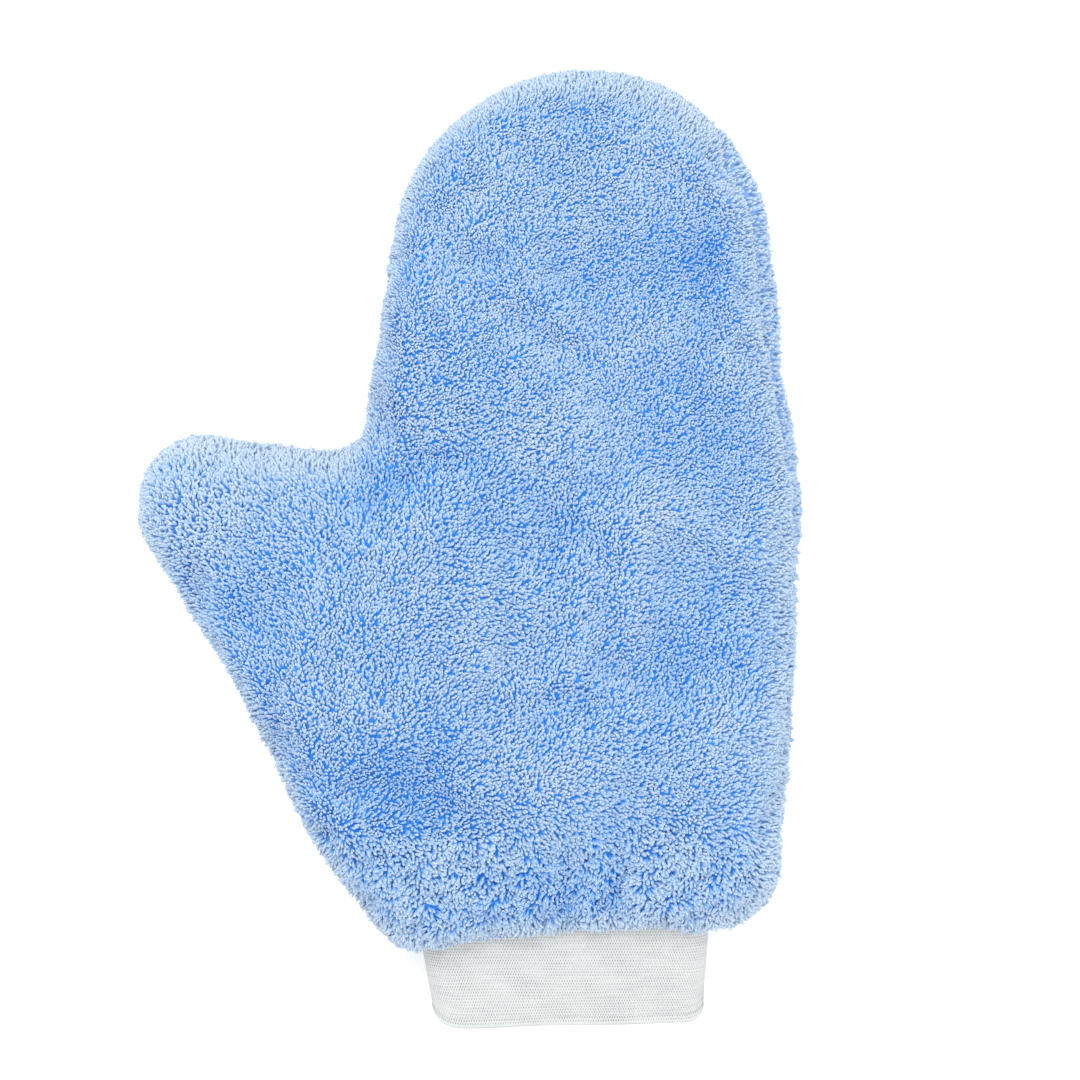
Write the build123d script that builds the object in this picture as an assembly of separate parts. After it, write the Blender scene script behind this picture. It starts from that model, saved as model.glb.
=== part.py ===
"""A plush wash mitt that lies flat with its palm down, in millimetres.

The frame: +Y runs from the cuff to the fingertips, the thumb points to -X, and +Z goes up through
the thickness. The origin is under the middle of the mitt's bounding box, on the surface it lies on.

The mitt is two bags sewn together, each of a back and a palm panel. The outer bag is plush: a thick
pile standing out of a thin ground cloth. The inner bag is a thin lining. All four panels meet at one
seam around the hand, turned to the inside, and a knitted elastic cuff is sewn into the mouth.
"""

import os

from build123d import *

os.makedirs("parts", exist_ok=True)

# The outline of the pile seen from above: x, y and the radius that rounds the corner, clockwise
# from the fork between the thumb and the fingers.
OUTLINE = [
    (-34.0, 29.5, 6.0),
    (-16.5, 117.0, 50.0),
    (16.5, 141.5, 52.0),
    (65.0, 138.5, 50.0),
    (87.0, 103.0, 30.0),
    (98.0, 15.0, 120.0),
    (96.0, -64.0, 60.0),
    (88.5, -110.5, 20.0),
    (-23.0, -118.0, 20.0),
    (-48.5, -79.0, 60.0),
    (-98.0, 4.5, 20.0),
    (-97.0, 35.0, 20.0),
]

# Thickness of the whole mitt and of its layers
mitt_height = 40.0
edge_rounding = 16.0
pile_depth = 8.6
ground_thickness = 1.0
lining_thickness = 0.8
layer_gap = 0.15

# The seam allowance turned in around the hand, at half the mitt's height
seam_height = mitt_height / 2
seam_allowance = 5.0

# The cuff, a tube of elastic pressed flat: its width where it is sewn in and at its free end
cuff_sewn_width = 84.6
cuff_free_width = 79.4
cuff_sewn_middle = 27.8
cuff_free_middle = 28.6
cuff_height = 14.0
cuff_sewn_end = -106.0
cuff_free_end = -139.8
cuff_droop = 7.0  # degrees that the free end hangs below the sewn one
cuff_wall = 1.9
cuff_face = 0.55  # knitted face on each side of the rubber cores
cuff_hem = 1.5
mouth_clearance = 0.8

# Rubber cores, one in each rib of the cuff
core_pitch = 0.875
core_thickness = 0.5

# Sewing thread
thread = 0.5
stitch_spacing = 4.0
stitch_leg = 3.0


def outline_wire(inset):
    """The mitt's outline moved inwards by inset, as a closed wire.

    A corner moves in along both of its sides, and its radius shrinks, or grows at the fork."""
    corners, radii = [], []
    for n, (x, y, radius) in enumerate(OUTLINE):
        corner = Vector(x, y)
        before = Vector(*OUTLINE[n - 1][:2])
        after = Vector(*OUTLINE[(n + 1) % len(OUTLINE)][:2])
        side_in = (corner - before).normalized()
        side_out = (after - corner).normalized()
        normal_in = side_in.rotate(Axis.Z, -90)
        normal_out = side_out.rotate(Axis.Z, -90)
        bulges_out = side_in.cross(side_out).Z < 0
        corners.append(corner + (normal_in + normal_out) * (inset / (1 + normal_in.dot(normal_out))))
        radii.append(radius - inset if bulges_out else radius + inset)
    return FilletPolyline(*corners, radius=radii, close=True)


def outline_face(inset):
    """The mitt's outline moved inwards by inset, as a flat face."""
    return make_face(outline_wire(inset))


def pillow(inset):
    """The space inside the mitt's outer surface moved inwards by inset on every side."""
    body = extrude(Pos(0, 0, inset) * outline_face(inset), mitt_height - 2 * inset)
    rims = body.edges().group_by(Axis.Z)
    return fillet(rims[0] + rims[-1], edge_rounding - inset)


def slab(low, high):
    """Everything between two heights."""
    span = 2 * mitt_height * 4
    return Pos(0, 0, (low + high) / 2) * Box(span, span, high - low)


def flange(inset, low, high):
    """A layer's seam allowance: a flat rim that turns in from the side wall, between two heights."""
    inner_edge = lining_inside + seam_allowance
    rim = outline_face(inset) - outline_face(inner_edge)
    return extrude(Pos(0, 0, low) * rim, high - low)


def mouth():
    """The space through the panels that the cuff passes through, which droops with it."""
    return droop(cuff_space(-mouth_clearance, cuff_sewn_end + 7.0, cuff_sewn_end - 19.0))


# How far each layer's two faces are inside the mitt's outer surface
ground_outside = pile_depth + layer_gap
ground_inside = ground_outside + ground_thickness
lining_outside = ground_inside + layer_gap
lining_inside = lining_outside + lining_thickness


def both_halves(hollow, top_layer_low, bottom_layer_high):
    """A hollow shell cut at the seam into its back and palm halves, above and below the given heights."""
    back = hollow & slab(top_layer_low, mitt_height)
    palm = hollow & slab(0, bottom_layer_high)
    return back, palm


def make_piles():
    """The two thick piles, which meet at the seam's height all around the hand."""
    hollow = pillow(0) - pillow(pile_depth) - mouth()
    return both_halves(hollow, seam_height + layer_gap / 2, seam_height - layer_gap / 2)


def make_ground_cloths():
    """The plush's two ground cloths, each with its seam allowance turned in at the seam."""
    low = layer_gap / 2
    high = low + ground_thickness
    hollow = pillow(ground_outside) - pillow(ground_inside)
    back, palm = both_halves(hollow, seam_height + low, seam_height - low)
    back += flange(ground_outside + ground_thickness / 2, seam_height + low, seam_height + high)
    palm += flange(ground_outside + ground_thickness / 2, seam_height - high, seam_height - low)
    return back - mouth(), palm - mouth()


def make_linings():
    """The two lining panels, whose seam allowances lie outside those of the ground cloths."""
    low = layer_gap * 1.5 + ground_thickness
    high = low + lining_thickness
    hollow = pillow(lining_outside) - pillow(lining_inside)
    back, palm = both_halves(hollow, seam_height + low, seam_height - low)
    back += flange(lining_outside + lining_thickness / 2, seam_height + low, seam_height + high)
    palm += flange(lining_outside + lining_thickness / 2, seam_height - high, seam_height - low)
    return back - mouth(), palm - mouth()


def staple(stack, leg):
    """One overlock stitch: thread over, round and under the edge of a stack of cloth.

    The cloth's edge is at x = 0 and the cloth is on the -X side, centred on z = 0."""
    outer = Pos(thread / 2 - leg / 2, 0, 0) * Box(leg + thread, thread, stack + 2 * thread)
    space = Pos(-leg / 2, 0, 0) * Box(leg, 2 * thread, stack)
    return outer - space


def make_perimeter_thread():
    """Overlock stitches round the inner edge of the four seam allowances, except across the mouth."""
    stack = 2 * (ground_thickness + lining_thickness) + 4 * layer_gap
    edge = outline_wire(lining_inside + seam_allowance + layer_gap)
    centre_x = cuff_sewn_middle
    opening = cuff_sewn_width / 2 + 2.0
    stitches = []
    for n in range(int(edge.length / stitch_spacing)):
        at = n * stitch_spacing / edge.length
        point = edge @ at
        along = edge % at
        if point.Y < cuff_sewn_end + 8 and abs(point.X - centre_x) < opening:
            continue
        inwards = along.rotate(Axis.Z, -90)
        plane = Plane(origin=(point.X, point.Y, seam_height), x_dir=inwards, z_dir=(0, 0, 1))
        stitches.append(plane * staple(stack, stitch_leg))
    return stitches


def cuff_section(inset, y):
    """The cuff's flattened section at y, before it droops, with its surface moved inwards by inset."""
    share = (cuff_sewn_end - y) / (cuff_sewn_end - cuff_free_end)
    width = cuff_sewn_width + share * (cuff_free_width - cuff_sewn_width)
    middle = cuff_sewn_middle + share * (cuff_free_middle - cuff_sewn_middle)
    plane = Plane(origin=(middle, y, seam_height), x_dir=(1, 0, 0), z_dir=(0, -1, 0))
    return plane * SlotOverall(width - 2 * inset, cuff_height - 2 * inset)


def cuff_space(inset, first, last):
    """The space inside the cuff's surface moved inwards by inset, from one y to another."""
    return loft([cuff_section(inset, first), cuff_section(inset, last)])


def droop(shape):
    """Turns a piece of the cuff down about the line where the cuff is sewn in."""
    return shape.rotate(Axis((0, cuff_sewn_end, seam_height), (1, 0, 0)), cuff_droop)


def make_cuff_band():
    """The elastic tube: two knitted faces joined at both hems, with room between for the rubber."""
    tube = cuff_space(0, cuff_sewn_end, cuff_free_end)
    tube -= cuff_space(cuff_wall, cuff_sewn_end + 1, cuff_free_end - 1)
    first, last = cuff_sewn_end - cuff_hem, cuff_free_end + cuff_hem
    channel = cuff_space(cuff_face, first, last) - cuff_space(cuff_wall - cuff_face, first + 1, last - 1)
    return droop(tube - channel)


def make_rubber_cores():
    """Closed loops of rubber side by side in the cuff's wall, one for each rib."""
    room = cuff_sewn_end - cuff_free_end - 2 * cuff_hem
    count = int(room / core_pitch)
    first = cuff_sewn_end - (cuff_sewn_end - cuff_free_end - (count - 1) * core_pitch) / 2
    side = (cuff_wall - core_thickness) / 2
    cores = []
    for n in range(count):
        y = first - n * core_pitch
        ring = cuff_section(side, y) - cuff_section(side + core_thickness, y)
        cores.append(droop(extrude(ring, core_thickness / 2, both=True)))
    return cores


def make_cuff_thread():
    """Stitches over the sewn end of the cuff, above and below, that hold it to the panels."""
    straight = cuff_sewn_width - cuff_height
    count = int(straight / stitch_spacing)
    stitches = []
    for side in (1, -1):
        height = side * (cuff_height - cuff_wall) / 2
        for n in range(count + 1):
            x = cuff_sewn_middle + (n - count / 2) * stitch_spacing
            plane = Plane(
                origin=(x, cuff_sewn_end + layer_gap, seam_height + height), x_dir=(0, 1, 0), z_dir=(0, 0, 1)
            )
            stitches.append(droop(plane * staple(cuff_wall + 2 * layer_gap, stitch_leg)))
    return stitches


def make_join_thread():
    """A zigzag of short stitches up the palm side of the cuff, where the elastic's two ends overlap."""
    step = 2.2
    half_width = 1.4
    bottom = seam_height - cuff_height / 2 - thread / 2 - layer_gap
    x = cuff_sewn_middle - cuff_sewn_width / 4
    first, last = cuff_sewn_end - 5.0, cuff_free_end + 1.5
    count = int((first - last) / step)
    stitches = []
    for n in range(count):
        swing = half_width if n % 2 == 0 else -half_width
        start = Vector(x - swing, first - n * step, bottom)
        end = Vector(x + swing, first - (n + 1) * step + thread, bottom)
        run = end - start
        plane = Plane(origin=(start + end) / 2, x_dir=run, z_dir=(0, 0, 1))
        stitches.append(droop(plane * Box(run.length - thread, thread, thread)))
    return stitches


def save(node, shape):
    """Writes one node. A list of solids becomes one group."""
    group = Compound(children=list(shape)) if isinstance(shape, list) else shape
    export_step(group, f"parts/{node}.step")
    print(node, "solids", len(group.solids()), "volume", round(group.volume))


back_pile, palm_pile = make_piles()
back_ground, palm_ground = make_ground_cloths()
back_lining, palm_lining = make_linings()
save("back_pile", back_pile)
save("palm_pile", palm_pile)
save("back_ground_cloth", back_ground)
save("palm_ground_cloth", palm_ground)
save("back_lining", back_lining)
save("palm_lining", palm_lining)
save("perimeter_overlock_thread", make_perimeter_thread())
save("cuff_band", make_cuff_band())
save("cuff_rubber_cores", make_rubber_cores())
save("cuff_overlock_thread", make_cuff_thread())
save("cuff_join_thread", make_join_thread())
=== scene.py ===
import math
from collections import namedtuple

import bmesh
import bpy
import numpy as np
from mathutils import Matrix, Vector, kdtree
from mathutils.geometry import delaunay_2d_cdt


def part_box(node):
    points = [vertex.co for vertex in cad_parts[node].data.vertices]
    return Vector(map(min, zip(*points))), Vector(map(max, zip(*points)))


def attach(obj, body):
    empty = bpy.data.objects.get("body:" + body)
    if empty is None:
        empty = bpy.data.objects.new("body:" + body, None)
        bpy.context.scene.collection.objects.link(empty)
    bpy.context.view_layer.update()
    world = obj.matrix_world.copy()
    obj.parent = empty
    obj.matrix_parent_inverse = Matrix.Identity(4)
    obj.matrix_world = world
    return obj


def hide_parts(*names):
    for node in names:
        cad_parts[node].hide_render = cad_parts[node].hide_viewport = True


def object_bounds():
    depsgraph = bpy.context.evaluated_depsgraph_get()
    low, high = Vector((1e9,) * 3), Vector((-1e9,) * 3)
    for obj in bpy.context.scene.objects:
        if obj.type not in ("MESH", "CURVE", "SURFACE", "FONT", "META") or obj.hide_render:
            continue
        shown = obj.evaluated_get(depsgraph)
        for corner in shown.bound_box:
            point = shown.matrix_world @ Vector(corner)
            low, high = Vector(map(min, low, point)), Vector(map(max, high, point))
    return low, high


# A fleece wash mitt seen from straight above. Two plush panels are sewn together round their edge,
# with an elastic knitted cuff at the wrist. Sizes are in metres, except in the two tables in mm.

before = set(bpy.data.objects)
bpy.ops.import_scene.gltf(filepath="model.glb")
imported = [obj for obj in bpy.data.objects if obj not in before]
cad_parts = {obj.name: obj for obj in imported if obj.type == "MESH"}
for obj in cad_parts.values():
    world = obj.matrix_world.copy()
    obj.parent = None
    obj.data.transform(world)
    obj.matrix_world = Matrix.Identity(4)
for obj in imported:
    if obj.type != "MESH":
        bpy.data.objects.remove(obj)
cad_low, cad_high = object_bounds()

MM = 0.001
SEED = 7

# The layers of a panel, as depths below the tips of the pile
tip_gap = 1.7 * MM
pile_depth = 8.6 * MM
ground_top = 8.75 * MM
ground_thickness = 0.9 * MM
lining_top = 9.85 * MM
lining_thickness = 0.75 * MM

# The rounded edge of the mitt, the seam in it, and how far the tufts reach out past it
edge_radius = 17 * MM
edge_drop = 2.2 * MM
edge_drop_reach = 14 * MM
seam_turn = math.radians(38)
seam_groove = 2.4 * MM
beside_seam_groove = 0.8 * MM
tuft_reach = 0.6 * MM

# The panel mesh: rings of points along the rim, then an even grid
ring_band = 14 * MM
ring_count = 9
column_step = 2.9 * MM
grid_step = 3.2 * MM

# The cloth simulation that fills out the two sewn panels
settle_frames = 20
settle_cap = 2.0 * MM
cloth_pressure = 1.2
cloth_slack = 0.045

# Where the rim stands out from the cut outline or falls short of it: x, y, reach and amount in mm
fabric_sway = (
    (-31, 85, 30, 1.6),
    (-46, -88, 22, 3.2),
    (-12, -116, 13, 2.8),
    (66, -112, 9, 2.8),
    (30, -112, 26, 0.8),
    (97, -10, 38, -1.3),
    (94, -62, 20, -1.6),
    (87, 100, 22, -1.5),
    (94, 50, 25, -1.0),
    (-60, 32, 12, -0.8),
)

# Dents and swells of the back, where the pile parts or closes: x, y, half width, half height, rise in mm
dents = (
    (4, 82, 9, 6, -1.6),
    (32, 76, 8, 7, -0.7),
    (65, 84, 7, 10, -1.6),
    (66, 60, 5, 26, -1.0),
    (57, 49, 10, 9, -1.2),
    (-5, 25, 10, 4, -1.9),
    (-23, 17, 9, 6, -1.6),
    (-60, -23, 9, 14, -1.4),
    (-25, -68, 16, 13, -2.4),
    (6, -77, 14, 7, -1.1),
    (61, -37, 13, 10, -1.7),
    (73, -12, 10, 6, -1.0),
    (42, -102, 5, 10, -2.2),
    (28, -107, 4, 7, -1.6),
    (22, 97, 16, 9, 0.7),
    (36, 32, 10, 9, 1.3),
    (50, 12, 18, 9, 1.2),
    (-26, -21, 15, 9, 1.1),
    (20, -39, 15, 8, 1.1),
    (-92, 14, 8, 12, 1.2),
    (66, -95, 13, 10, 1.3),
)

# The creases where the plush is gathered into the cuff
gather_depth = 1.5 * MM
gather_width = 3.1 * MM
gather_middle = 28 * MM
gather_top = -96 * MM
gather_fade = 16 * MM

# The tufts in the middle of the back; those at the edge and on the heel, thumb and fingers differ a little
tuft_spacing = 0.60 * MM
coarse_spacing = 0.62 * MM
tuft_length = 2.15 * MM
tuft_width = 0.93 * MM
tuft_lean = 1.05
tuft_sunk = 0.7 * MM
tuft_sides = 4
clump_size = 5.0 * MM
tries_per_tuft = 6.5
map_margin = 0.06
lay_direction = math.radians(38)
lay_turn_on_left = math.radians(85)
palm_spacing_share = 1.6
palm_tuft_size = 1.3

# The zones that the tufts are parted into: the last five follow each other from the wrist upwards,
# with borders at these shares of the pile's length. Tufts in a fine zone have one ring more.
zone_names = ("heel", "thumb", "wrist", "hand", "knuckles", "fingers", "fingertips")
zone_borders = np.array([0.30, 0.48, 0.66, 0.84])
fine_zones = ("heel", "thumb")

# The cuff
rib_pitch = 0.875 * MM
stitch_pitch = 0.785 * MM
rib_height = 0.20 * MM
cuff_wall = 1.9 * MM
cuff_height = 14 * MM
cuff_length = 35.0 * MM
cuff_start = -104.9 * MM
cuff_hinge = -106 * MM
cuff_droop = math.radians(7)
cuff_sag = 0.16
corner_round = 7 * MM
hem_height = 1.5 * MM
hem_groove = 0.35 * MM
core_radius = 0.28 * MM
join_place = 0.655
join_pitch = 2.6 * MM
join_half_width = 1.3 * MM
join_thread_radius = 0.18 * MM

pile_low, pile_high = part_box("back_pile")
cuff_low, cuff_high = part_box("cuff_band")
middle = 0.5 * (cad_low.z + cad_high.z)
half_height = 0.5 * (cad_high.z - cad_low.z)


def smooth(value, start, end):
    """0 before start and 1 after end, with an even change between."""
    t = np.clip((value - start) / (end - start), 0, 1)
    return t * t * (3 - 2 * t)


def normalised(vectors):
    """The same directions at length 1."""
    return vectors / np.maximum(np.linalg.norm(vectors, axis=1, keepdims=True), 1e-9)


def along_surface(vectors, normals):
    """The part of each vector that lies in the surface with these normals."""
    return vectors - normals * (vectors * normals).sum(1)[:, None]


def waves(points, size, seed):
    """Smooth random values from about -1 to 1 that change over about the given size."""
    rng = np.random.default_rng(seed)
    total = np.zeros(len(points))
    for _ in range(7):
        direction = rng.normal(size=points.shape[1])
        direction *= 2 * math.pi / (size * np.linalg.norm(direction)) * rng.uniform(0.6, 1.5)
        total += np.sin(points @ direction + rng.uniform(0, 2 * math.pi))
    return total / 3.2


def enclosed_area(loop):
    """The area inside a loop in plan, positive where the loop runs anticlockwise."""
    ahead = np.roll(loop, -1, axis=0)
    return 0.5 * np.sum(loop[:, 0] * ahead[:, 1] - ahead[:, 0] * loop[:, 1])


def mesh_object(name, points, faces):
    """A smooth-shaded mesh object from arrays of points and faces."""
    mesh = bpy.data.meshes.new(name)
    mesh.from_pydata([tuple(p) for p in points], [], [tuple(int(i) for i in f) for f in faces])
    mesh.update()
    mesh.polygons.foreach_set("use_smooth", [True] * len(mesh.polygons))
    piece = bpy.data.objects.new(name, mesh)
    bpy.context.scene.collection.objects.link(piece)
    return piece


def add_number(mesh, name, values):
    """A number for every point of a mesh, for its material to read."""
    attribute = mesh.attributes.new(name, "FLOAT", "POINT")
    attribute.data.foreach_set("value", np.asarray(values, np.float32))


def point_tree(points):
    """A search tree that finds the points near a place."""
    tree = kdtree.KDTree(len(points))
    for i, point in enumerate(points):
        tree.insert(point, i)
    tree.balance()
    return tree


def spread_out(points, apart):
    """The numbers of the points that stay when each one clears those nearer to it than apart."""
    tree = point_tree(points)
    free = np.ones(len(points), bool)
    kept = []
    for i in range(len(points)):
        if free[i]:
            kept.append(i)
            for _, j, _ in tree.find_range(points[i], apart[i]):
                free[j] = False
    return kept


# The outline, read from the frame


def cut_loops(node, height):
    """The closed loops where a level plane cuts a CAD node, each as points in plan."""
    bm = bmesh.new()
    bm.from_mesh(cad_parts[node].data)
    cut = bmesh.ops.bisect_plane(
        bm, geom=bm.verts[:] + bm.edges[:] + bm.faces[:], plane_co=(0, 0, height), plane_no=(0, 0, 1)
    )
    edges = [e for e in cut["geom_cut"] if isinstance(e, bmesh.types.BMEdge)]
    beside = {}
    for e in edges:
        a, b = (tuple(round(c, 6) for c in v.co.xy) for v in e.verts)
        beside.setdefault(a, set()).add(b)
        beside.setdefault(b, set()).add(a)
    bm.free()
    loops = []
    while beside:
        here = next(iter(beside))
        loop = []
        while here is not None:
            loop.append(here)
            nexts = [p for p in beside.pop(here) if p in beside]
            here = nexts[0] if nexts else None
        loops.append(np.array(loop))
    return loops


def resampled(loop, step):
    """A closed loop as evenly spaced points."""
    closed = np.vstack([loop, loop[:1]])
    along = np.concatenate([[0], np.cumsum(np.linalg.norm(np.diff(closed, axis=0), axis=1))])
    count = int(round(along[-1] / step))
    at = np.linspace(0, along[-1], count, endpoint=False)
    return np.column_stack([np.interp(at, along, closed[:, i]) for i in range(2)])


def outward(loop):
    """Unit directions that point out of an anticlockwise loop."""
    along = np.roll(loop, -1, axis=0) - np.roll(loop, 1, axis=0)
    return normalised(np.column_stack([along[:, 1], -along[:, 0]]))


def read_outline():
    """The mitt's outline in plan at its widest, anticlockwise, with its outward directions."""
    cut_height = cuff_high.z + 1.5 * MM
    loop = max(cut_loops("back_pile", cut_height), key=lambda p: np.ptp(p[:, 1]))
    loop = resampled(loop, column_step)
    if enclosed_area(loop) < 0:
        loop = loop[::-1]
    out = outward(loop)
    loop = loop + (pile_high.y - tuft_reach - loop[:, 1].max()) * out
    for at_x, at_y, reach, amount in fabric_sway:
        near = np.exp(-((loop[:, 0] / MM - at_x) ** 2 + (loop[:, 1] / MM - at_y) ** 2) / reach ** 2)
        loop = loop + amount * MM * near[:, None] * out
    return loop, outward(loop)


rim, rim_out = read_outline()


def depth_inside(points):
    """How far each plan point is inside the outline, and the outward direction of the nearest rim."""
    depths = np.empty(len(points))
    directions = np.empty((len(points), 2))
    batch = 4000
    for start in range(0, len(points), batch):
        part = points[start:start + batch]
        offsets = part[:, None, :] - rim[None, :, :]
        nearest = np.argmin((offsets ** 2).sum(2), axis=1)
        rows = np.arange(len(part))
        depths[start:start + batch] = -(offsets[rows, nearest] * rim_out[nearest]).sum(1)
        directions[start:start + batch] = rim_out[nearest]
    return depths, directions


# The shape of the two panels

# how far each point of the rim lies over the cuff's mouth, and how high the mouth lifts it
over_cuff = smooth(rim[:, 0], cuff_low.x - 7 * MM, cuff_low.x + 1 * MM)
over_cuff *= 1 - smooth(rim[:, 0], cuff_high.x - 1 * MM, cuff_high.x + 7 * MM)
over_cuff *= 1 - smooth(rim[:, 1], -100 * MM, -95 * MM)
mouth_lift = cuff_high.z - middle + 0.5 * MM

# how far the seam is turned up onto the back, where it shows along the right side
seam_on_top = smooth(rim[:, 0], 62 * MM, 78 * MM) * smooth(rim[:, 1], -98 * MM, -70 * MM)
seam_on_top *= 1 - smooth(rim[:, 1], 112 * MM, 132 * MM)


def seam_angle(side, depth):
    """How far up the rounded edge the seam lies, for each point of the rim."""
    half = half_height - depth
    lift = side * np.arcsin(np.clip(mouth_lift / half, 0, 0.95)) * over_cuff
    turn = seam_turn * (0.25 + 0.75 * smooth(rim[:, 1], -60 * MM, 60 * MM))
    return lift + turn * seam_on_top * (1 - over_cuff)


def crown(depths):
    """The half height of the mitt, which grows a little towards the middle."""
    return half_height - edge_drop * np.exp(-np.maximum(depths - edge_radius, 0) / edge_drop_reach)


def panel_plan():
    """Points and triangles of one panel laid flat: rings along the rim, then an even grid."""
    rings = [rim - rim_out * ring_band * k / (ring_count - 1) for k in range(ring_count)]
    xs = np.arange(cad_low.x, cad_high.x, grid_step)
    ys = np.arange(cad_low.y, cad_high.y, grid_step * math.sqrt(0.75))
    grid = np.array([(x + 0.5 * grid_step * (j % 2), y) for j, y in enumerate(ys) for x in xs])
    depths, _ = depth_inside(grid)
    grid = grid[depths > ring_band + 0.7 * grid_step]
    points = np.vstack(rings + [grid])
    count = len(rim)
    edges = [(i, (i + 1) % count) for i in range(count)]
    made = delaunay_2d_cdt([Vector(p) for p in points], edges, [], 1, 1e-7)
    triangles = np.array([f for f in made[2] if len(f) == 3])
    a, b, c = (points[triangles[:, i]] for i in range(3))
    turn = (b[:, 0] - a[:, 0]) * (c[:, 1] - a[:, 1]) - (b[:, 1] - a[:, 1]) * (c[:, 0] - a[:, 0])
    triangles[turn < 0] = triangles[turn < 0][:, ::-1]
    return points, triangles


plan, plan_triangles = panel_plan()
plan_depth, _ = depth_inside(plan)


def gathers(points):
    """The creases above the cuff, from 0 to 1. They fan out upwards and fade."""
    x = points[:, 0]
    y = points[:, 1]
    fan = (x - gather_middle) / (1 + 0.012 * (y + 112 * MM) / MM)
    crease = (1 - np.abs(np.cos(fan / gather_width + 1.6 * waves(points, 22 * MM, 9)))) ** 3
    top = gather_top + 9 * MM * waves(points[:, :1], 16 * MM, 10)
    return crease * (1 - smooth(y, top, top + gather_fade))


def relief(points):
    """Soft dents, swells and creases of the back panel, in metres of height."""
    total = 0.7 * MM * waves(points, 55 * MM, 3) + 0.35 * MM * waves(points, 21 * MM, 4)
    for at_x, at_y, wide, tall, rise in dents:
        away = ((points[:, 0] / MM - at_x) / wide) ** 2 + ((points[:, 1] / MM - at_y) / tall) ** 2
        total += rise * MM * np.exp(-away)
    return total - gather_depth * gathers(points)


def made_points(side, depth):
    """A layer of one panel as it is cut and sewn, at that depth below the tips. side is 1 on the back."""
    count = len(rim)
    ring = np.minimum(np.arange(len(plan)) // count, ring_count)
    column = np.arange(len(plan)) % count
    on_ring = ring < ring_count
    radius = edge_radius - depth
    end = math.acos((edge_radius - ring_band) / radius)
    start = seam_angle(side, depth)[column]
    share = ring / (ring_count - 1)
    angle = np.where(on_ring, start + (side * end - start) * share, 0)
    inside = np.clip((edge_radius - plan_depth) / radius, 0, 1)
    angle = np.where(on_ring, angle, side * np.arccos(inside))
    groove = seam_groove * (ring == 0) + beside_seam_groove * (ring == 1)
    groove = np.where(depth < pile_depth, groove, 0)
    inset = edge_radius - (radius - groove) * np.cos(angle)
    base = rim[column] - rim_out[column] * inset[:, None]
    flat = np.where(on_ring[:, None], base, plan)
    height = (crown(plan_depth) - depth - groove) * np.sin(angle)
    rough = relief(flat) if side > 0 else 0.4 * MM * waves(flat, 30 * MM, 5)
    z = middle + height + rough * smooth(np.abs(np.sin(angle)), 0.3, 0.9)
    return np.column_stack([flat, z])


def settled_moves(back, palm):
    """How each point of the two sewn panels moves as the slack cloth fills out, from a cloth simulation."""
    count = len(rim)
    sewn = np.linalg.norm(back[:count] - palm[:count], axis=1) < 0.1 * MM
    index = np.arange(2 * len(plan))
    index[len(plan):len(plan) + count][sewn] = np.arange(count)[sewn]
    points = np.vstack([back, palm])
    faces = np.vstack([plan_triangles, index[plan_triangles[:, ::-1] + len(plan)]])
    shell = mesh_object("settling_shell", points, faces)
    held = shell.vertex_groups.new(name="held")
    seam = np.arange(count)
    held.add([int(i) for i in np.concatenate([seam, seam + len(plan)])], 1.0, "REPLACE")
    cloth = shell.modifiers.new("settle", "CLOTH")
    cloth.settings.quality = 6
    cloth.settings.mass = 0.3
    cloth.settings.tension_stiffness = 14
    cloth.settings.compression_stiffness = 14
    cloth.settings.shear_stiffness = 8
    cloth.settings.bending_stiffness = 2.0
    cloth.settings.use_pressure = True
    cloth.settings.uniform_pressure_force = cloth_pressure
    cloth.settings.shrink_min = -cloth_slack
    cloth.settings.vertex_group_mass = "held"
    cloth.settings.effector_weights.gravity = 0
    for step in range(1, settle_frames + 1):
        bpy.context.scene.frame_set(step)
    shaped = shell.evaluated_get(bpy.context.evaluated_depsgraph_get()).to_mesh()
    after = np.array([v.co for v in shaped.vertices])
    bpy.context.scene.frame_set(1)
    bpy.data.objects.remove(shell)
    moves = after[index] - points[index]
    size = np.linalg.norm(moves, axis=1, keepdims=True)
    moves *= np.minimum(1, settle_cap / np.maximum(size, 1e-9))
    return {1: moves[:len(plan)], -1: moves[len(plan):]}


moves = {1: np.zeros((len(plan), 3)), -1: np.zeros((len(plan), 3))}
moves = settled_moves(made_points(1, tip_gap), made_points(-1, tip_gap))


def panel_points(side, depth):
    """A layer of one panel, made and then settled."""
    points = made_points(side, depth) + moves[side]
    points[:, 2] = np.maximum(points[:, 2], depth)
    return points


def closed_layer(name, side, top, bottom):
    """One panel's layer as a closed solid between two depths."""
    outer = panel_points(side, top)
    inner = panel_points(side, bottom)
    count = len(rim)
    total = len(outer)
    faces = [tuple(f) if side > 0 else tuple(f[::-1]) for f in plan_triangles]
    faces += [tuple(i + total for i in f[::-1]) for f in faces]
    for i in range(count):
        j = (i + 1) % count
        wall = (i, i + total, j + total, j)
        faces.append(wall if side > 0 else wall[::-1])
    return mesh_object(name, np.vstack([outer, inner]), faces)


# The pile, as tufts

Regions = namedtuple("Regions", "edge heel fingers thumb out")


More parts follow.
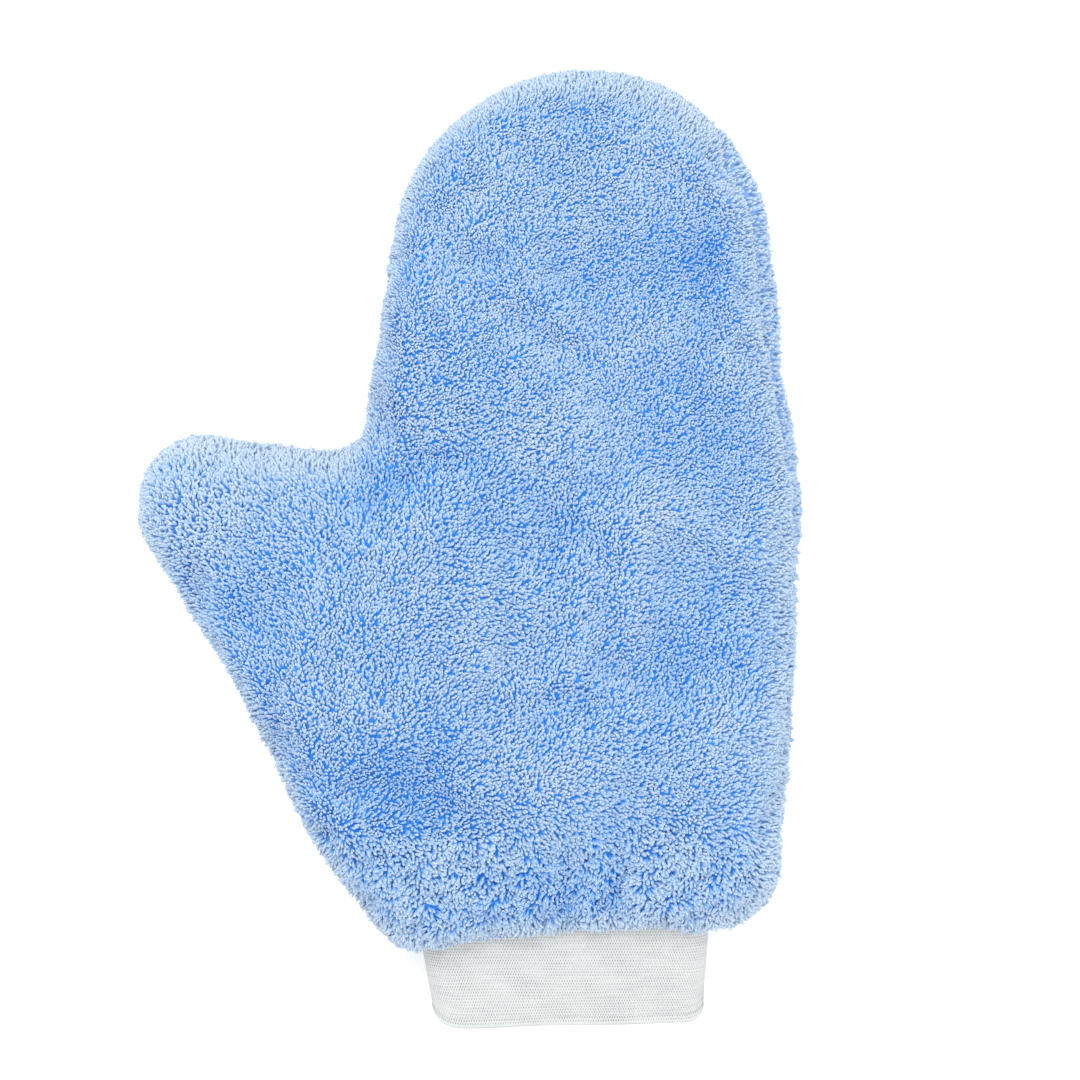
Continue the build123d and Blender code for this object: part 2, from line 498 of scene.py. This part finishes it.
def regions(points):
    """Shares from 0 to 1 of the edge band, heel, fingers and thumb, and the way out to the nearest rim."""
    depths, out = depth_inside(points[:, :2])
    towards_right = smooth(out @ np.array([0.8, 0.6]), -0.3, 0.7)
    towards_cuff = smooth(-out[:, 1], 0.6, 0.95)
    wide = (7 + 7 * towards_right + 3.5 * towards_cuff) * MM
    edge = 1 - smooth(depths, 0.25 * wide, wide)
    heel = 1 - smooth(points[:, 1], -96 * MM, -70 * MM)
    fingers = smooth(points[:, 1] + 0.35 * points[:, 0], 20 * MM, 62 * MM)
    thumb = 1 - smooth(points[:, 0] - 0.5 * points[:, 1], -78 * MM, -58 * MM)
    return Regions(edge, heel, fingers, thumb, out)


def back_spacing(points):
    """The distance between neighbouring tufts on the back."""
    edge, heel, fingers, thumb, _ = regions(points)
    base = tuft_spacing - 0.09 * MM * fingers
    return base + (coarse_spacing - base) * np.maximum(edge, np.maximum(heel, thumb))


def palm_spacing(points):
    """The distance between neighbouring tufts on the palm, which lies on the floor."""
    return palm_spacing_share * back_spacing(points)


def scatter(points, triangles, spacing, seed):
    """Roots spread over a surface about one spacing apart, with their normals."""
    rng = np.random.default_rng(seed)
    a, b, c = (points[triangles[:, i]] for i in range(3))
    cross = np.cross(b - a, c - a)
    area = 0.5 * np.linalg.norm(cross, axis=1)
    corner = np.zeros(points.shape)
    for i in range(3):
        np.add.at(corner, triangles[:, i], cross)
    corner = normalised(corner)
    weight = area / spacing((a + b + c) / 3) ** 2
    tries = int(tries_per_tuft * weight.sum())
    pick = rng.choice(len(triangles), tries, p=weight / weight.sum())
    u, v = rng.random((2, tries, 1))
    outside = u + v > 1
    u = np.where(outside, 1 - u, u)
    v = np.where(outside, 1 - v, v)
    at = a[pick] + u * (b[pick] - a[pick]) + v * (c[pick] - a[pick])
    corners = [corner[triangles[pick, i]] for i in range(3)]
    normal = normalised(corners[0] * (1 - u - v) + corners[1] * u + corners[2] * v)
    kept = spread_out(at, spacing(at))
    return at[kept], normal[kept]


def lay_of_pile(points, normals, shares):
    """The direction in which each tuft leans, along the cloth, and how strongly from 0 to 1."""
    flat = points[:, :2]
    turn = lay_direction + 0.5 * waves(flat, 60 * MM, 11) + 0.25 * waves(flat, 18 * MM, 12)
    turn = turn + shares.fingers * 0.5 * waves(flat, 14 * MM, 13)
    turn = turn + lay_turn_on_left * (1 - smooth(flat[:, 0], -75 * MM, -5 * MM))
    curls = -0.5 * math.pi + 1.1 * waves(flat, 12 * MM, 14)
    turn = turn * (1 - shares.heel) + curls * shares.heel
    lay = np.column_stack([np.cos(turn), np.sin(turn)])
    lay = lay * (1 - shares.edge)[:, None] + shares.out * shares.edge[:, None]
    strength = np.minimum(np.linalg.norm(lay, axis=1), 1)
    lay = np.column_stack([lay, np.zeros(len(lay))])
    return normalised(along_surface(lay, normals)), strength


def clump_centres(roots):
    """For each root, the centre of the clump that it belongs to."""
    kept = spread_out(roots, np.full(len(roots), clump_size))
    clumps = point_tree(roots[kept])
    nearest = np.array([clumps.find(p)[1] for p in roots])
    return roots[kept][nearest]


def tuft_points(roots, normals, shares, rise_here, rng, size, heights, profile):
    """The points of each tuft: a ring at each of the heights, from 0 to 1, and then its tip."""
    edge, heel, fingers, thumb, _ = shares
    count = len(roots)
    lay, strength = lay_of_pile(roots, normals, shares)
    side_way = np.cross(normals, lay)
    disorder = 0.40 + 0.10 * fingers * (1 - edge) + 0.16 * heel + 0.06 * thumb
    sway = rng.normal(0, disorder, count)[:, None]
    lay = normalised(lay * np.cos(sway) + side_way * np.sin(sway))
    coarse = np.maximum(edge, np.maximum(heel, 0.7 * thumb))
    lean = (tuft_lean - 0.10 * fingers - 0.12 * coarse) * (0.3 + 0.7 * strength)
    lean = np.clip(lean + rng.normal(0, 0.18, count), 0.05, 1.3)
    length = (tuft_length + (-0.45 * fingers + 0.4 * heel + 0.7 * edge) * MM) * (0.7 + 0.3 * size)
    length = length * rng.uniform(0.88, 1.12, count)
    width = (tuft_width + (-0.11 * fingers + 0.08 * heel - 0.04 * edge + 0.07 * thumb) * MM) * size
    width = width * rng.uniform(0.85, 1.18, count) * (1 + 0.06 * np.minimum(rise_here, 0) * (1 - edge))
    pull = (clump_centres(roots) - roots) * (0.04 + 0.10 * heel + 0.04 * edge)[:, None]
    pull = along_surface(pull, normals)
    side_way = np.cross(normals, lay)
    rise = (length * np.cos(lean))[:, None]
    run = (length * np.sin(lean))[:, None]
    curl = (rng.normal(0, 0.26, count) * length)[:, None]

    def centre_at(t):
        up = rise * (1 - (1 - t) ** 1.5) - tuft_sunk * (1 - t)
        return roots + normals * up + lay * run * t ** 1.25 + side_way * curl * t * t + pull * t

    rings = []
    for t, wide in zip(heights, profile):
        here = centre_at(t)
        ahead = normalised(centre_at(t + 0.05) - here)
        across = normalised(np.cross(ahead, normals) + 1e-6)
        over = np.cross(across, ahead)
        for k in range(tuft_sides):
            turn = 2 * math.pi * (k + 0.25) / tuft_sides
            ragged = rng.uniform(0.86, 1.14, count)
            reach = (0.5 * width * wide * ragged)[:, None]
            rings.append(here + reach * (across * math.cos(turn) + 0.78 * over * math.sin(turn)))
    rings.append(centre_at(1.0))
    points = np.stack(rings, axis=1)
    points[:, :, 2] = np.maximum(points[:, :, 2], 0.15 * MM)
    return points


def tuft_faces(ring_total):
    """The faces of one tuft, and the side and ring at which each of their corners lies on its map."""
    faces = []
    corners = []
    top = ring_total - 1
    for ring in range(top):
        low = ring * tuft_sides
        high = low + tuft_sides
        for k in range(tuft_sides):
            n = (k + 1) % tuft_sides
            faces.append((low + k, low + n, high + n, high + k))
            corners.append(((k, ring), (k + 1, ring), (k + 1, ring + 1), (k, ring + 1)))
    last = top * tuft_sides
    tip = last + tuft_sides
    for k in range(tuft_sides):
        faces.append((last + k, last + (k + 1) % tuft_sides, tip))
        corners.append(((k, top), (k + 1, top), (k + 0.5, top + 1)))
    return faces, corners


def tufts(name, roots, normals, seed, size, fine):
    """Tufts of pile, each a bent tapering lock of fibres, as one mesh with its own map.

    size scales their width and, less, their length. Fine tufts have a ring of points more."""
    rng = np.random.default_rng(seed)
    count = len(roots)
    shares = regions(roots)
    rise_here = np.clip(relief(roots[:, :2]) / MM, -2.4, 2)
    heights = np.array([0.0, 0.50, 0.86] if fine else [0.0, 0.76])
    profile = np.array([0.80, 1.0, 0.88] if fine else [0.82, 1.0])
    points = tuft_points(roots, normals, shares, rise_here, rng, size, heights, profile)
    faces, corners = tuft_faces(len(heights))
    per = points.shape[1]
    loops = np.array([i for f in faces for i in f])
    sizes = np.tile([len(f) for f in faces], count)

    mesh = bpy.data.meshes.new(name)
    mesh.vertices.add(count * per)
    mesh.vertices.foreach_set("co", points.reshape(-1))
    mesh.loops.add(count * len(loops))
    all_loops = (loops[None, :] + per * np.arange(count)[:, None]).reshape(-1)
    mesh.loops.foreach_set("vertex_index", all_loops.astype(np.int32))
    mesh.polygons.add(count * len(faces))
    mesh.polygons.foreach_set("loop_start", np.concatenate([[0], np.cumsum(sizes)[:-1]]).astype(np.int32))
    mesh.polygons.foreach_set("use_smooth", np.ones(count * len(faces), bool))
    mesh.update(calc_edges=True)

    # the map: a square of cells, one for each tuft, with a margin round what the tuft fills
    along_at = list(heights) + [1.0]
    across_map = np.array([side / tuft_sides for f in corners for side, _ in f])
    along_map = np.array([along_at[ring] for f in corners for _, ring in f])
    cells = int(math.ceil(math.sqrt(count)))
    cell_x = (np.arange(count) % cells)[:, None]
    cell_y = (np.arange(count) // cells)[:, None]
    filled = 1 - 2 * map_margin
    u = (cell_x + map_margin + filled * across_map[None, :]) / cells
    v = (cell_y + map_margin + filled * along_map[None, :]) / cells
    layer = mesh.uv_layers.new(name="OFBake")
    layer.data.foreach_set("uv", np.stack([u, v], axis=2).reshape(-1).astype(np.float32))

    tip = np.concatenate([np.repeat(heights, tuft_sides), [1.0]])
    add_number(mesh, "tuft_tip", np.tile(tip, count))
    # A random tone for each tuft, plus painted shade in the dents and painted light on the swells, from the
    # relief
    tone = rng.random(count) + 0.32 * rise_here * (1 - shares.edge)
    add_number(mesh, "tuft_tone_and_dent_shade", np.repeat(tone, per))
    # Painted edge light: tufts near the rim are paler, most at the top and bottom edges. The thumb is paler
    # too, and the palm's tufts less so.
    painted_edge_light = shares.edge * (0.66 + 0.56 * np.abs(shares.out[:, 1]))
    pale = np.maximum(painted_edge_light, 0.22 * shares.thumb) * (2.0 - size)
    add_number(mesh, "edge_light_and_pale_thumb", np.repeat(pale, per))
    mesh.validate()
    piece = bpy.data.objects.new(name, mesh)
    bpy.context.scene.collection.objects.link(piece)
    piece["cells"] = cells
    return piece


# Materials


class Nodes:
    """A material and short calls that add and join its nodes."""

    def __init__(self, name):
        self.material = bpy.data.materials.new(name)
        self.material.use_nodes = True
        self.tree = self.material.node_tree
        self.shader = self.tree.nodes["Principled BSDF"]

    def add(self, kind, **settings):
        """A new node with these settings."""
        node = self.tree.nodes.new(kind)
        for key, value in settings.items():
            setattr(node, key, value)
        return node

    def join(self, source, target):
        """A link from one socket to another."""
        self.tree.links.new(source, target)

    def give(self, value, socket):
        """A number, a colour or another node's output, given to a socket."""
        if isinstance(value, (int, float)):
            socket.default_value = value
        elif isinstance(value, tuple):
            socket.default_value = (*value, 1)
        else:
            self.join(value, socket)

    def math(self, operation, first, second=None, clamp=False):
        """The result of one sum."""
        node = self.add("ShaderNodeMath", operation=operation, use_clamp=clamp)
        self.give(first, node.inputs[0])
        if second is not None:
            self.give(second, node.inputs[1])
        return node.outputs[0]

    def about_middle(self, value, share):
        """How far a value is from 0.5, times a share."""
        return self.math("MULTIPLY", self.math("SUBTRACT", value, 0.5), share)

    def number(self, attribute):
        """A number stored on the mesh."""
        return self.add("ShaderNodeAttribute", attribute_name=attribute).outputs["Fac"]

    def noise(self, scale, detail, vector=None):
        """Soft noise over the object, or over another vector."""
        node = self.add("ShaderNodeTexNoise")
        node.inputs["Scale"].default_value = scale
        node.inputs["Detail"].default_value = detail
        if vector is None:
            vector = self.add("ShaderNodeTexCoord").outputs["Object"]
        self.join(vector, node.inputs["Vector"])
        return node.outputs["Fac"]

    def scaled_map(self, across, along):
        """The mesh's own map, stretched across and along."""
        place = self.add("ShaderNodeUVMap", uv_map="OFBake").outputs["UV"]
        mapping = self.add("ShaderNodeMapping")
        mapping.inputs["Scale"].default_value = (across, along, 1)
        self.join(place, mapping.inputs["Vector"])
        return mapping.outputs["Vector"]

    def ramp(self, value, stops):
        """A colour for each value, from stops of position and colour."""
        node = self.add("ShaderNodeValToRGB")
        elements = node.color_ramp.elements
        while len(elements) < len(stops):
            elements.new(0.5)
        for element, (at, colour) in zip(elements, stops):
            element.position = at
            element.color = (*colour, 1)
        self.join(value, node.inputs["Fac"])
        return node.outputs["Color"]

    def mix(self, factor, first, second):
        """A mixture of two colours."""
        node = self.add("ShaderNodeMix", data_type="RGBA")
        for number, value in ((0, factor), (6, first), (7, second)):
            self.give(value, node.inputs[number])
        return node.outputs[2]

    def bump(self, height, strength, distance):
        """Fine relief in the shading."""
        node = self.add("ShaderNodeBump")
        node.inputs["Strength"].default_value = strength
        node.inputs["Distance"].default_value = distance
        self.join(height, node.inputs["Height"])
        self.join(node.outputs["Normal"], self.shader.inputs["Normal"])


def pile_material(name, cells):
    """Microfibre tufts: blue fibres with pale tips, darker towards the roots as painted shade of the pile's
    depths, paler near the rim as painted edge light, with fine streaks along the fibres.
    """
    m = Nodes(name)
    tip = m.number("tuft_tip")
    tone = m.number("tuft_tone_and_dent_shade")
    # Painted edge light, weighted towards the tips of the tufts
    paler_tip = m.math("ADD", m.math("MULTIPLY", tip, 0.72), 0.38)
    edge = m.math("MULTIPLY", m.number("edge_light_and_pale_thumb"), paler_tip)
    streaks = m.noise(1.0, 2.0, m.scaled_map(cells * 7.0, cells * 1.3))
    patches = m.noise(38, 3.0)
    level = m.math("ADD", tip, m.about_middle(streaks, 0.45))
    # Random tone for each tuft, with painted shade in the dents
    level = m.math("ADD", level, m.about_middle(tone, 0.22))
    level = m.math("ADD", level, m.about_middle(patches, 0.30))
    # Painted edge light lifts the level near the rim and flattens its contrast
    kept = m.math("SUBTRACT", 1.0, m.math("MULTIPLY", edge, 0.66))
    level = m.math("ADD", m.math("MULTIPLY", level, kept), m.math("MULTIPLY", edge, 0.68), clamp=True)
    # The ramp darkens the low levels towards the roots as painted shade of the pile's depths; the tips are
    # pale
    colour = m.ramp(level, (
        (0.00, (0.01, 0.28, 0.90)),
        (0.30, (0.08, 0.37, 0.88)),
        (0.65, (0.34, 0.54, 0.81)),
        (1.00, (0.53, 0.645, 0.785)),
    ))
    # Painted edge light: a pale blue mixed in near the rim
    colour = m.mix(m.math("MULTIPLY", edge, 0.45, clamp=True), colour, (0.57, 0.69, 0.83))
    m.join(colour, m.shader.inputs["Base Color"])
    m.shader.inputs["Roughness"].default_value = 0.85
    m.shader.inputs["Sheen Weight"].default_value = 0.35
    m.shader.inputs["Sheen Roughness"].default_value = 0.45
    m.shader.inputs["Sheen Tint"].default_value = (0.76, 0.88, 1.0, 1)
    m.shader.inputs["Specular IOR Level"].default_value = 0.25
    m.bump(streaks, 0.5, 0.25 * MM)
    return m.material


def bed_material():
    """The dense foot of the pile, seen between the tufts: a darker blue as painted shade of the pile's
    depths, and paler at the edge as painted edge light.
    """
    m = Nodes("pile_foot")
    grain = m.noise(900, 2.0)
    # Painted shade: the foot's blue is darkened to the shade between the tufts
    shaded_blue = m.ramp(grain, ((0.3, (0.01, 0.20, 0.64)), (0.7, (0.04, 0.29, 0.78))))
    # Painted edge light near the rim
    colour = m.mix(m.math("MULTIPLY", m.number("edge_light_and_pale_thumb"), 0.8), shaded_blue, (0.30, 0.48, 0.80))
    m.join(colour, m.shader.inputs["Base Color"])
    m.shader.inputs["Roughness"].default_value = 0.95
    m.shader.inputs["Sheen Weight"].default_value = 0.2
    m.bump(grain, 0.8, 0.6 * MM)
    return m.material


def cloth_material(name, dark, light, pitch):
    """A thin knit of fine ribs and loops."""
    m = Nodes(name)
    ribs = m.add("ShaderNodeTexWave", wave_type="BANDS", bands_direction="X")
    ribs.inputs["Scale"].default_value = 0.32 / pitch
    ribs.inputs["Distortion"].default_value = 2.0
    ribs.inputs["Detail Scale"].default_value = 900
    m.join(m.add("ShaderNodeTexCoord").outputs["Object"], ribs.inputs["Vector"])
    knit = m.math("MULTIPLY", ribs.outputs["Fac"], m.noise(1400, 2.0))
    m.join(m.ramp(knit, ((0.1, dark), (0.6, light))), m.shader.inputs["Base Color"])
    m.shader.inputs["Roughness"].default_value = 0.88
    m.shader.inputs["Sheen Weight"].default_value = 0.15
    m.bump(knit, 0.6, 0.3 * MM)
    return m.material


def cuff_material(length_round, round_length):
    """Off-white knit: staggered pinholes between the stitches, painted dark as the shade seen through them,
    with streaks of tone along each rib.
    """
    m = Nodes("ribbed_elastic")
    split = m.add("ShaderNodeSeparateXYZ")
    m.join(m.add("ShaderNodeUVMap", uv_map="OFBake").outputs["UV"], split.inputs[0])
    rows = m.math("MULTIPLY", split.outputs["Y"], round(length_round / rib_pitch))
    stagger = m.math("MULTIPLY", m.math("MODULO", m.math("FLOOR", rows), 2.0), 0.5)
    stitches = m.math("MULTIPLY", split.outputs["X"], round(round_length / stitch_pitch))
    stitches = m.math("ADD", stitches, stagger)
    across = m.math("SUBTRACT", m.math("FRACT", stitches), 0.5)
    down = m.about_middle(m.math("FRACT", rows), 0.62)
    apart = m.math("SQRT", m.math("ADD", m.math("MULTIPLY", across, across), m.math("MULTIPLY", down, down)))
    solid = m.add("ShaderNodeMapRange", interpolation_type="SMOOTHSTEP")
    solid.inputs["From Min"].default_value = 0.08
    solid.inputs["From Max"].default_value = 0.30
    m.join(apart, solid.inputs["Value"])
    streaks = m.noise(1.0, 2.0, m.scaled_map(14.0, 90.0))
    depth = m.math("ADD", m.math("MULTIPLY", m.noise(120, 2.0), 0.9), 0.10, clamp=True)
    hole_shade = m.math("MULTIPLY", m.math("SUBTRACT", 1.0, solid.outputs["Result"]), depth)
    tone = m.math("ADD", m.math("SUBTRACT", 0.80, hole_shade), m.about_middle(streaks, 0.40))
    tone = m.math("ADD", tone, m.about_middle(m.noise(1100, 2.0), 0.25), clamp=True)
    colour = m.ramp(tone, (
        # The lowest level is the painted shade seen through the pinholes
        (0.0, (0.12, 0.14, 0.16)),
        (0.6, (0.54, 0.56, 0.56)),
        (1.0, (0.72, 0.73, 0.72)),
    ))
    m.join(colour, m.shader.inputs["Base Color"])
    m.shader.inputs["Roughness"].default_value = 0.8
    m.shader.inputs["Sheen Weight"].default_value = 0.1
    m.bump(tone, 0.5, 0.2 * MM)
    return m.material


def strand_material(name, dark, light, roughness):
    """Twisted or drawn strands: fine streaks of two close tones."""
    m = Nodes(name)
    streak = m.noise(2200, 3.0)
    m.join(m.ramp(streak, ((0.35, dark), (0.65, light))), m.shader.inputs["Base Color"])
    m.shader.inputs["Roughness"].default_value = roughness
    m.bump(streak, 0.4, 0.1 * MM)
    return m.material


def floor_material():
    """A plain white floor that glows a little, so that it burns out to white."""
    m = Nodes("white_floor")
    m.shader.inputs["Base Color"].default_value = (0.9, 0.9, 0.9, 1)
    m.shader.inputs["Roughness"].default_value = 0.9
    m.shader.inputs["Emission Color"].default_value = (1, 1, 1, 1)
    m.shader.inputs["Emission Strength"].default_value = 0.25
    return m.material


# The body of the mitt


def placed(piece, material, node=None):
    """A piece with its material and slot, riding on the one body, in place of a CAD node if one is given."""
    piece.data.materials.append(material)
    if node:
        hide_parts(node)
    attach(piece, "root")
    return piece


def zones(roots, shares):
    """The number of the zone that each root is in, in the order of zone_names."""
    borders = pile_low.y + (pile_high.y - pile_low.y) * zone_borders
    along = np.digitize(roots[:, 1], borders)
    return np.select([shares.heel > 0.5, shares.thumb > 0.5], [0, 1], along + 2)


def make_pile(side, word, spacing, size):
    """The tufts of one panel, a piece for each zone."""
    triangles = plan_triangles if side > 0 else plan_triangles[:, ::-1]
    roots, normals = scatter(panel_points(side, tip_gap), triangles, spacing, SEED + side)
    zone = zones(roots, regions(roots))
    piles = []
    for index, area in enumerate(zone_names):
        here = zone == index
        name = word + "_pile_" + area
        seed = SEED + 10 * index + side
        pile = tufts(name, roots[here], normals[here], seed, size, area in fine_zones)
        piles.append(placed(pile, pile_material(name, pile["cells"])))
    return piles


def make_panel(side, word, spacing, size):
    """One panel: the foot of its pile, its ground cloth, its lining and its tufts. side is 1 on the back."""
    ground_bottom = ground_top + ground_thickness
    lining_bottom = lining_top + lining_thickness
    foot = closed_layer(word + "_pile_foot", side, tip_gap, pile_depth)
    ground = closed_layer(word + "_ground_sheet", side, ground_top, ground_bottom)
    lining = closed_layer(word + "_lining_sheet", side, lining_top, lining_bottom)
    foot_points = np.array([v.co for v in foot.data.vertices])
    # The foot's painted edge light: its share of the edge band
    add_number(foot.data, "edge_light_and_pale_thumb", regions(foot_points).edge)
    ground_knit = cloth_material(word + "_ground", (0.08, 0.2, 0.5), (0.2, 0.4, 0.8), 0.9 * MM)
    lining_knit = cloth_material(word + "_lining", (0.45, 0.56, 0.7), (0.68, 0.78, 0.9), 0.8 * MM)
    placed(foot, bed_material(), word + "_pile")
    placed(ground, ground_knit, word + "_ground_cloth")
    placed(lining, lining_knit, word + "_lining")
    piles = make_pile(side, word, spacing, size)


make_panel(1, "back", back_spacing, 1.0)
make_panel(-1, "palm", palm_spacing, palm_tuft_size)

# The cuff, a little wider than its CAD piece where it is sewn in and narrower at its free end

sewn_middle = 0.5 * (cuff_low.x + cuff_high.x) - 0.9 * MM
sewn_width = cuff_high.x - cuff_low.x + 1.8 * MM
free_middle = sewn_middle + 1.6 * MM
free_width = sewn_width - 5.6 * MM
cuff_round = 2 * (sewn_width - cuff_height) + math.pi * cuff_height


def cuff_points(around, along, inward):
    """Points of the cuff: around from 0 to 1, along from its sewn end, inward from its outer face."""
    share = np.clip(along / cuff_length, 0, 1)
    wide = sewn_width + (free_width - sewn_width) * smooth(share, 0, 1)
    centre = sewn_middle + (free_middle - sewn_middle) * share

    # the flattened tube: two straight sides joined by half circles
    straight = wide - cuff_height
    round_length = 0.5 * math.pi * cuff_height
    at = np.mod(around, 1) * 2 * (straight + round_length)
    radius = 0.5 * cuff_height - inward
    second = at >= straight + round_length
    at = np.where(second, at - straight - round_length, at)
    flip = np.where(second, -1.0, 1.0)
    bend = np.clip((at - straight) / (0.5 * cuff_height), 0, math.pi)
    flat = np.minimum(at, straight) - 0.5 * straight
    x = flip * (-flat - radius * np.sin(bend))
    z = flip * radius * np.cos(bend)

    # the middle of each side sags and waves a little away from the sewn end
    ease = smooth(along, 4 * MM, 22 * MM)
    fold = np.abs(x) / (0.5 * wide)
    z = z * (1 - cuff_sag * ease * (1 - fold ** 4))
    z = z + 0.8 * MM * ease * waves(np.column_stack([centre + x, along, z]), 26 * MM, 21) * (1 - fold ** 4)

    # the free end's corners are rounded, the left one more, and its edge slopes
    round_x = np.where(x < 0, corner_round + 4 * MM, corner_round - 1 * MM)
    at_corner = np.clip((np.abs(x) - (0.5 * wide - round_x)) / round_x, 0, 1)
    recede = (1 - np.sqrt(1 - 0.97 * at_corner ** 2)) * 0.55 * round_x + 0.028 * x
    y = cuff_start - along + recede * smooth(along, cuff_length - 14 * MM, cuff_length)

    # the whole cuff droops about the line where it is sewn in
    drop = y - cuff_hinge
    return np.column_stack([
        centre + x,
        cuff_hinge + drop * math.cos(cuff_droop) - z * math.sin(cuff_droop),
        middle + z * math.cos(cuff_droop) + drop * math.sin(cuff_droop),
    ])


def cuff_wall_rows():
    """The rows of the cuff's wall: down its ribbed outer face, round the hem and back up inside."""
    down = np.arange(0, cuff_length, rib_pitch / 4)
    ribs = rib_height * (1 - np.abs(np.sin(math.pi * down / rib_pitch)))
    hem = hem_groove * np.exp(-((down - (cuff_length - hem_height)) / (0.22 * MM)) ** 2)
    turn = np.linspace(0, math.pi, 9)[1:-1]
    along = np.concatenate([down, cuff_length + 0.5 * cuff_wall * np.sin(turn), down[::-1]])
    bottom = 0.5 * cuff_wall * (1 - np.cos(turn))
    inward = np.concatenate([ribs + hem, bottom, (cuff_wall - ribs - hem)[::-1]])
    return along, inward


def make_cuff(name):
    """The elastic cuff as one closed wall with ribs on both faces, mapped around and along."""
    along, inward = cuff_wall_rows()
    rows = len(along)
    columns = 236
    around = np.arange(columns) / columns
    points = cuff_points(np.tile(around, rows), np.repeat(along, columns), np.repeat(inward, columns))
    faces = []
    for r in range(rows):
        here = r * columns
        below = (r + 1) % rows * columns
        for c in range(columns):
            beside = (c + 1) % columns
            faces.append((here + c, here + beside, below + beside, below + c))
    piece = mesh_object(name, points, faces)
    layer = piece.data.uv_layers.new(name="OFBake")
    column_edges = np.arange(columns)[:, None] + np.array([0, 1, 1, 0])[None, :]
    row_edges = np.arange(rows)[:, None] + np.array([0, 0, 1, 1])[None, :]
    u = np.tile(column_edges, (rows, 1, 1)) / columns
    v = np.repeat(row_edges[:, None, :], columns, axis=1) / rows
    layer.data.foreach_set("uv", np.stack([u, v], axis=3).reshape(-1).astype(np.float32))
    return piece, rows * rib_pitch / 4


def tube_rings(line, radius, sides):
    """Rings of points round a closed or open line, with no twist to speak of."""
    ahead = normalised(np.gradient(line, axis=0))
    guide = np.array([0.13, 0.21, 0.97])
    across = normalised(np.cross(ahead, guide))
    over = np.cross(ahead, across)
    turns = 2 * math.pi * np.arange(sides) / sides
    ring = across[:, None, :] * np.cos(turns)[None, :, None] + over[:, None, :] * np.sin(turns)[None, :, None]
    return line[:, None, :] + radius * ring


def tubes(name, lines, radius, closed=False):
    """One mesh of round strands that follow the lines."""
    sides = 6
    points = []
    faces = []
    first = 0
    for line in lines:
        count = len(line)
        points.append(tube_rings(line, radius, sides).reshape(-1, 3))
        for r in range(count if closed else count - 1):
            here = first + r * sides
            after = first + (r + 1) % count * sides
            for k in range(sides):
                n = (k + 1) % sides
                faces.append((here + k, here + n, after + n, after + k))
        if not closed:
            faces.append(tuple(first + k for k in reversed(range(sides))))
            faces.append(tuple(first + (count - 1) * sides + k for k in range(sides)))
        first += count * sides
    return mesh_object(name, np.vstack(points), faces)


def make_cores(name):
    """The rubber strands inside the cuff's wall, one ring in every rib."""
    count = 150
    around = np.linspace(0, 1, count, endpoint=False)
    lines = []
    for along in np.arange(2.5 * rib_pitch, cuff_length - 2.5 * MM, rib_pitch):
        lines.append(cuff_points(around, np.full(count, along), np.full(count, 0.5 * cuff_wall)))
    return tubes(name, lines, core_radius, closed=True)


def make_join(name):
    """A zigzag of thread on the palm side, where the cuff's band is joined into a ring."""
    along = np.linspace(3 * MM, cuff_length - 1.2 * MM, 260)
    phase = 2 * math.pi * along / join_pitch
    zigzag = join_half_width * (2 / math.pi) * np.arcsin(np.sin(phase))
    around = join_place + zigzag / (2 * sewn_width)
    lift = -0.10 * MM - 0.12 * MM * np.abs(np.cos(phase))
    return tubes(name, [cuff_points(around, along, lift)], join_thread_radius)


cuff, cuff_length_round = make_cuff("cuff_knit")
elastic = cuff_material(cuff_length_round, cuff_round)
rubber = strand_material("natural_rubber", (0.60, 0.57, 0.50), (0.76, 0.74, 0.68), 0.45)
thread = strand_material("polyester_thread", (0.50, 0.60, 0.76), (0.74, 0.80, 0.88), 0.5)
placed(cuff, elastic, "cuff_band")
cores = placed(make_cores("cuff_cores"), rubber, "cuff_rubber_cores")
join = placed(make_join("cuff_join_zigzag"), thread, "cuff_join_thread")
for node in ("perimeter_overlock_thread", "cuff_overlock_thread"):
    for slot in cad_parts[node].material_slots:
        slot.material = thread

# Floor, light and camera

floor = mesh_object("floor", [(-4, -4, 0), (4, -4, 0), (4, 4, 0), (-4, 4, 0)], [(0, 1, 2, 3)])
floor.data.materials.append(floor_material())


def area_light(name, position, size, power):
    """A square softbox that faces the mitt."""
    light = bpy.data.lights.new(name, "AREA")
    light.shape = "SQUARE"
    light.size = size
    light.energy = power
    lamp = bpy.data.objects.new(name, light)
    lamp.location = position
    lamp.rotation_euler = (-Vector(position)).to_track_quat("-Z", "Y").to_euler()
    bpy.context.scene.collection.objects.link(lamp)


area_light("softbox_top", (-0.35, 0.75, 1.15), 0.7, 7.5)
area_light("softbox_side", (0.9, -0.35, 0.8), 0.8, 2.5)

world = bpy.data.worlds.new("studio")
world.use_nodes = True
world.node_tree.nodes["Background"].inputs["Color"].default_value = (1, 1, 1, 1)
world.node_tree.nodes["Background"].inputs["Strength"].default_value = 1.08
bpy.context.scene.world = world

lens = bpy.data.cameras.new("camera")
lens.lens = 100
lens.sensor_width = 36
camera = bpy.data.objects.new("camera", lens)
camera.location = (0.0202, 0.0021, 0.907)
bpy.context.scene.collection.objects.link(camera)
bpy.context.scene.camera = camera
bpy.context.scene.view_settings.view_transform = "Standard"
